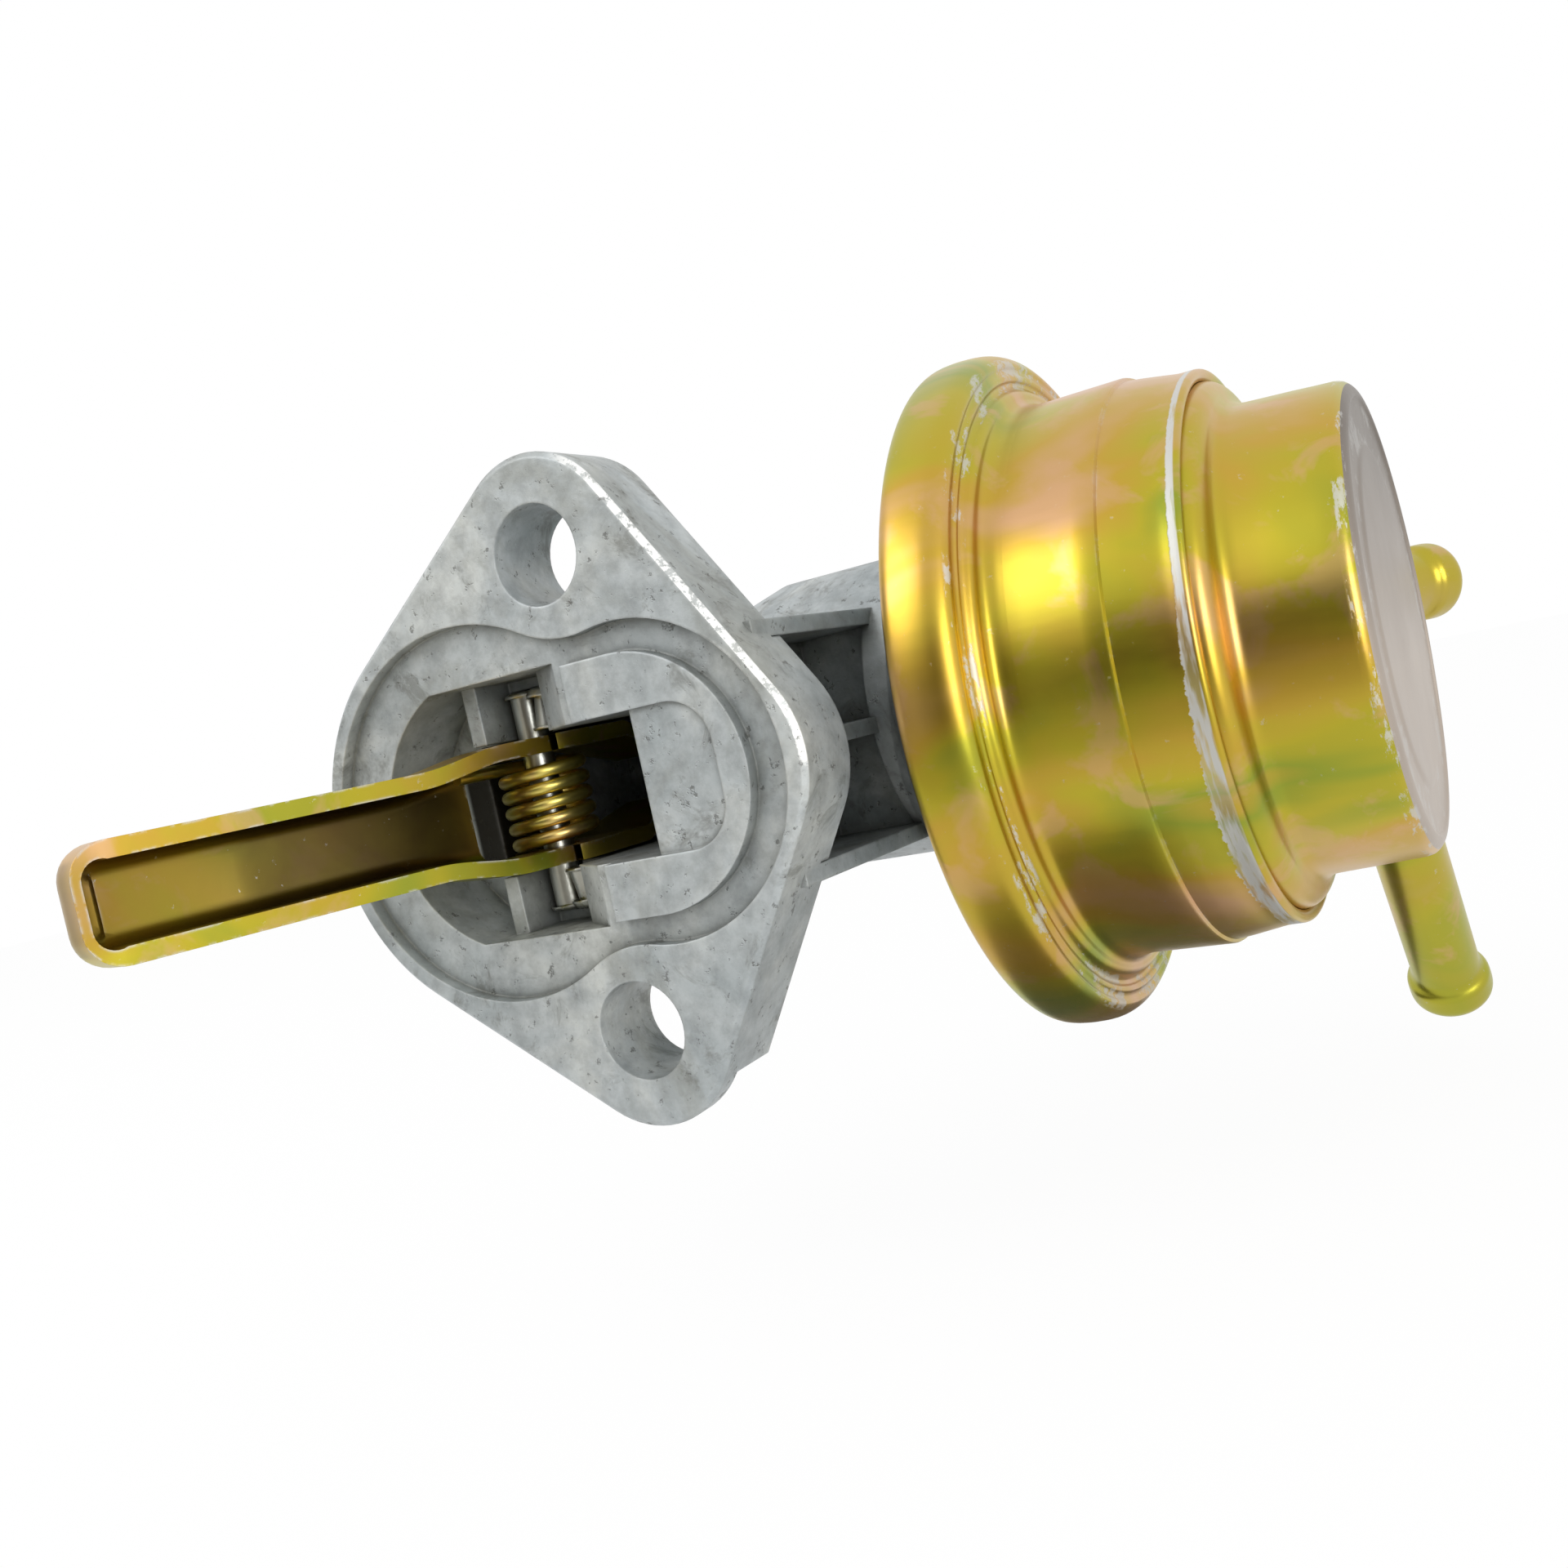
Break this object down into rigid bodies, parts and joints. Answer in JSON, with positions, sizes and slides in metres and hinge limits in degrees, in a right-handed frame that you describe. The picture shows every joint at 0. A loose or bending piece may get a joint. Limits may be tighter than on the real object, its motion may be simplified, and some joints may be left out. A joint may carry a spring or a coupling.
{
  "type": "mechanical fuel pump",
  "caption": "Lever-driven diaphragm fuel pump with a cast bolt flange, sprung rocker lever, plated round head and beaded hose pipes.",
  "frame": {"origin": "midway between the flange's bolt holes, on the mounting face", "axes": "-Y out of the mounting face into the engine, +Z along the line of the bolt holes and parallel to the lever's pivot pin, +X along the pump head's axis towards its end cup"},
  "size_m": [0.0964, 0.1095, 0.0756],
  "materials": {
    "cast_aluminium": "as-cast with stains, machined mounting face",
    "chromated_steel": "zinc plated with yellow chromate, worn",
    "pale_plated_steel": "zinc plated, pale gold to grey",
    "bright_steel": "bright ground steel",
    "sealing_rubber": "black fuel-resistant rubber",
    "valve_plastic": "dark moulded plastic"
  },
  "bodies": {
    "housing": {"body_casting": "cast_aluminium", "pivot_pin": "bright_steel", "pin_keepers": "bright_steel", "lever_return_spring": "chromated_steel", "rod_seal": "sealing_rubber", "seal_retainer": "bright_steel", "diaphragm_spring": "bright_steel", "diaphragm": "sealing_rubber", "upper_cover": "chromated_steel", "valve_plate": "valve_plastic", "inlet_valve_spring": "bright_steel", "inlet_valve_stem": "valve_plastic", "outlet_valve_spring": "bright_steel", "outlet_valve_stem": "valve_plastic", "seam_gasket": "sealing_rubber", "end_cup": "pale_plated_steel", "inlet_pipe": "chromated_steel", "outlet_pipe": "chromated_steel"},
    "lever": {"rocker_lever": "chromated_steel"},
    "diaphragm_stack": {"pull_rod": "bright_steel", "lower_diaphragm_plate": "bright_steel", "upper_diaphragm_plate": "bright_steel"},
    "inlet_valve": {"inlet_valve_disc": "sealing_rubber"},
    "outlet_valve": {"outlet_valve_disc": "sealing_rubber"}
  },
  "joints": [
    {"name": "lever_pivot", "type": "hinge", "parent": "housing", "child": "lever", "pos_m": [-0.012, 0.0096, 0], "axis": [0, 0, 1], "range_deg": [0, 9.5], "stiffness_Nm_per_rad": 1.4, "springref_deg": -17.19, "deforming": ["lever_return_spring"]},
    {"name": "rod_slide", "type": "slide", "parent": "housing", "child": "diaphragm_stack", "axis": [-1, 0, 0], "range_m": [0, 0.0046], "deforming": ["diaphragm_spring", "diaphragm"]},
    {"name": "inlet_valve_lift", "type": "slide", "parent": "housing", "child": "inlet_valve", "axis": [-1, 0, 0], "range_m": [0, 0.0012], "stiffness_N_per_m": 80, "springref_m": -0.002, "deforming": ["inlet_valve_spring"]},
    {"name": "outlet_valve_lift", "type": "slide", "parent": "housing", "child": "outlet_valve", "axis": [1, 0, 0], "range_m": [0, 0.0012], "stiffness_N_per_m": 80, "springref_m": -0.002, "deforming": ["outlet_valve_spring"]}
  ],
  "couplings": [
    {"joint": "rod_slide", "follows": "lever_pivot", "m_per_rad": 0.0277}
  ]
}
